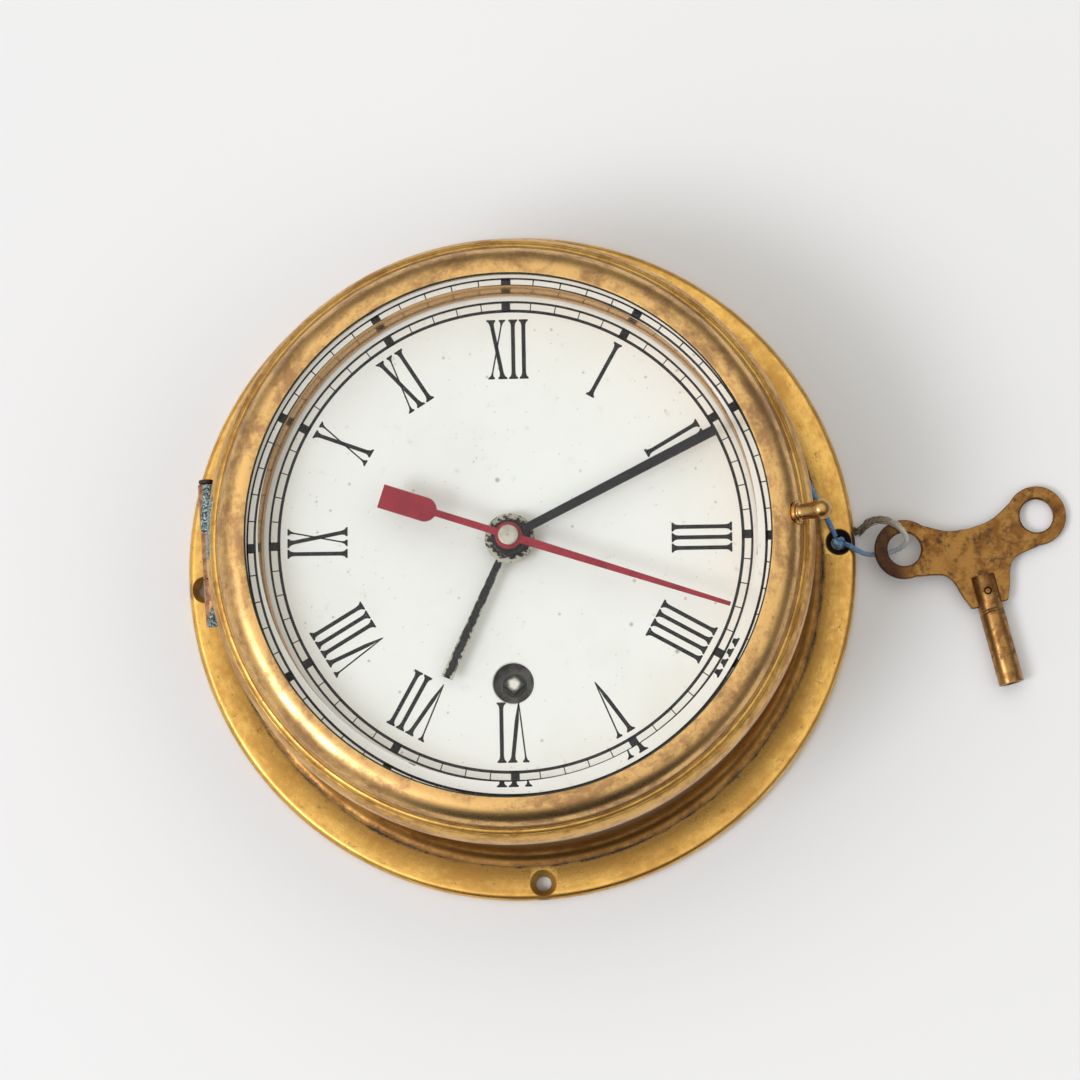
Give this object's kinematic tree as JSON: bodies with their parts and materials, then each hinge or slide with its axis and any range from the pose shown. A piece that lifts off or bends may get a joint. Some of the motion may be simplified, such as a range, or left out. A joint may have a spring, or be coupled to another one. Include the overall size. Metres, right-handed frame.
{
  "type": "ships clock",
  "caption": "Round brass ship's clock on a mounting flange, with a hinged bevelled-glass bezel, enamelled dial, geared hands and movement, and a winding key tied on with string.",
  "frame": {"origin": "centre of the back face, with the clock lying on its back", "axes": "+Z out through the dial, +Y towards the numeral twelve, +X towards the numeral three"},
  "size_m": [0.242, 0.1838, 0.0773],
  "materials": {
    "golden_brass": "brushed, lightly pitted",
    "aged_brass": "polished with brown patina",
    "brown_brass": "dark patina",
    "movement_brass": "polished",
    "steel": "satin",
    "blue_steel": "heat blued",
    "glass": "clear",
    "enamel": "off-white enamel",
    "black_paint": "worn matt black",
    "red_paint": "red gloss",
    "string": "twisted twine"
  },
  "bodies": {
    "case": {"mounting_flange": "golden_brass", "case_drum": "aged_brass", "back_plate": "golden_brass", "back_screw_1": "steel", "back_screw_2": "steel", "back_screw_3": "steel", "hinge_case_leaf": "aged_brass", "hinge_pin": "brown_brass", "bezel_catch": "steel", "dial": "enamel", "dial_foot_1": "movement_brass", "dial_foot_2": "movement_brass", "dial_foot_3": "movement_brass", "front_plate": "movement_brass", "rear_plate": "movement_brass", "pillar_1": "movement_brass", "pillar_2": "movement_brass", "pillar_3": "movement_brass", "pillar_screw_1": "blue_steel", "pillar_screw_2": "blue_steel", "pillar_screw_3": "blue_steel", "movement_post_1": "movement_brass", "movement_post_2": "movement_brass", "movement_post_3": "movement_brass", "balance_cock": "movement_brass", "click_screw": "blue_steel", "click_spring": "blue_steel", "minute_wheel_post": "steel", "hairspring": "blue_steel", "key_bow": "golden_brass", "key_barrel": "brown_brass", "key_pin": "brown_brass", "key_string": "string", "string_tail": "string", "string_knot": "string"},
    "bezel": {"bezel_ring": "aged_brass", "bezel_glass": "glass", "glass_retaining_ring": "golden_brass", "hinge_bezel_leaf": "aged_brass", "bezel_knob": "brown_brass"},
    "minute": {"cannon_pinion": "steel", "minute_hand": "black_paint"},
    "minute_reduction": {"minute_wheel": "movement_brass"},
    "hour": {"hour_wheel": "movement_brass", "hour_hand": "black_paint"},
    "seconds": {"seconds_arbor": "steel", "seconds_hand": "red_paint", "seconds_boss": "steel"},
    "third": {"third_wheel": "movement_brass"},
    "centre": {"centre_wheel": "movement_brass"},
    "intermediate": {"intermediate_wheel": "movement_brass"},
    "barrel": {"mainspring_barrel": "movement_brass", "barrel_cover": "movement_brass", "mainspring": "blue_steel"},
    "escape": {"escape_wheel": "movement_brass"},
    "winding": {"winding_arbor": "steel", "ratchet_wheel": "steel"},
    "click": {"click": "steel"},
    "pallet": {"pallet_lever": "steel"},
    "balance": {"balance_wheel": "movement_brass"}
  },
  "joints": [
    {"name": "bezel_hinge", "type": "hinge", "parent": "case", "child": "bezel", "pos_m": [-0.08, -0.00391, 0.056], "axis": [0.0488, -0.9988, 0], "range_deg": [0, 125]},
    {"name": "minute_turn", "type": "hinge", "parent": "case", "child": "minute", "pos_m": [0, 0, 0.058], "axis": [0, 0, -1], "continuous": true},
    {"name": "minute_reduction_turn", "type": "hinge", "parent": "case", "child": "minute_reduction", "pos_m": [0.006, 0.01039, 0.051], "axis": [0, 0, -1], "continuous": true},
    {"name": "hour_turn", "type": "hinge", "parent": "case", "child": "hour", "pos_m": [0, 0, 0.058], "axis": [0, 0, -1], "continuous": true},
    {"name": "seconds_turn", "type": "hinge", "parent": "case", "child": "seconds", "pos_m": [0, 0, 0.04], "axis": [0, 0, -1], "continuous": true},
    {"name": "third_turn", "type": "hinge", "parent": "case", "child": "third", "pos_m": [-0.01403, 0.0081, 0.03], "axis": [0, 0, -1], "continuous": true},
    {"name": "centre_turn", "type": "hinge", "parent": "case", "child": "centre", "pos_m": [0, 0, 0.04], "axis": [0, 0, -1], "continuous": true},
    {"name": "intermediate_turn", "type": "hinge", "parent": "case", "child": "intermediate", "pos_m": [-0.00765, -0.0162, 0.04], "axis": [0, 0, -1], "continuous": true},
    {"name": "barrel_turn", "type": "hinge", "parent": "case", "child": "barrel", "pos_m": [0, -0.038, 0.03], "axis": [0, 0, -1], "continuous": true},
    {"name": "escape_turn", "type": "hinge", "parent": "case", "child": "escape", "pos_m": [0.01103, 0.00926, 0.025], "axis": [0, 0, -1], "continuous": true},
    {"name": "winding_turn", "type": "hinge", "parent": "case", "child": "winding", "pos_m": [0, -0.038, 0.04], "axis": [0, 0, -1], "continuous": true},
    {"name": "click_lift", "type": "hinge", "parent": "case", "child": "click", "pos_m": [0.01106, -0.03026, 0.0505], "axis": [0, 0, -1], "range_deg": [0, 6], "stiffness_Nm_per_rad": 0.0001},
    {"name": "pallet_rock", "type": "hinge", "parent": "case", "child": "pallet", "pos_m": [0.01655, 0.01388, 0.028], "axis": [0, 0, 1], "range_deg": [-4, 4]},
    {"name": "balance_swing", "type": "hinge", "parent": "case", "child": "balance", "pos_m": [0.02382, 0.01999, 0.034], "axis": [0, 0, 1], "range_deg": [-120, 120], "stiffness_Nm_per_rad": 0.0000126}
  ],
  "couplings": [
    {"joint": "minute_reduction_turn", "follows": "minute_turn", "ratio": -0.33333},
    {"joint": "hour_turn", "follows": "minute_turn", "ratio": 0.083333},
    {"joint": "third_turn", "follows": "seconds_turn", "ratio": -0.13333},
    {"joint": "centre_turn", "follows": "seconds_turn", "ratio": 0.016667},
    {"joint": "intermediate_turn", "follows": "seconds_turn", "ratio": -0.002381},
    {"joint": "barrel_turn", "follows": "seconds_turn", "ratio": 0.00039683},
    {"joint": "escape_turn", "follows": "seconds_turn", "ratio": -8}
  ]
}
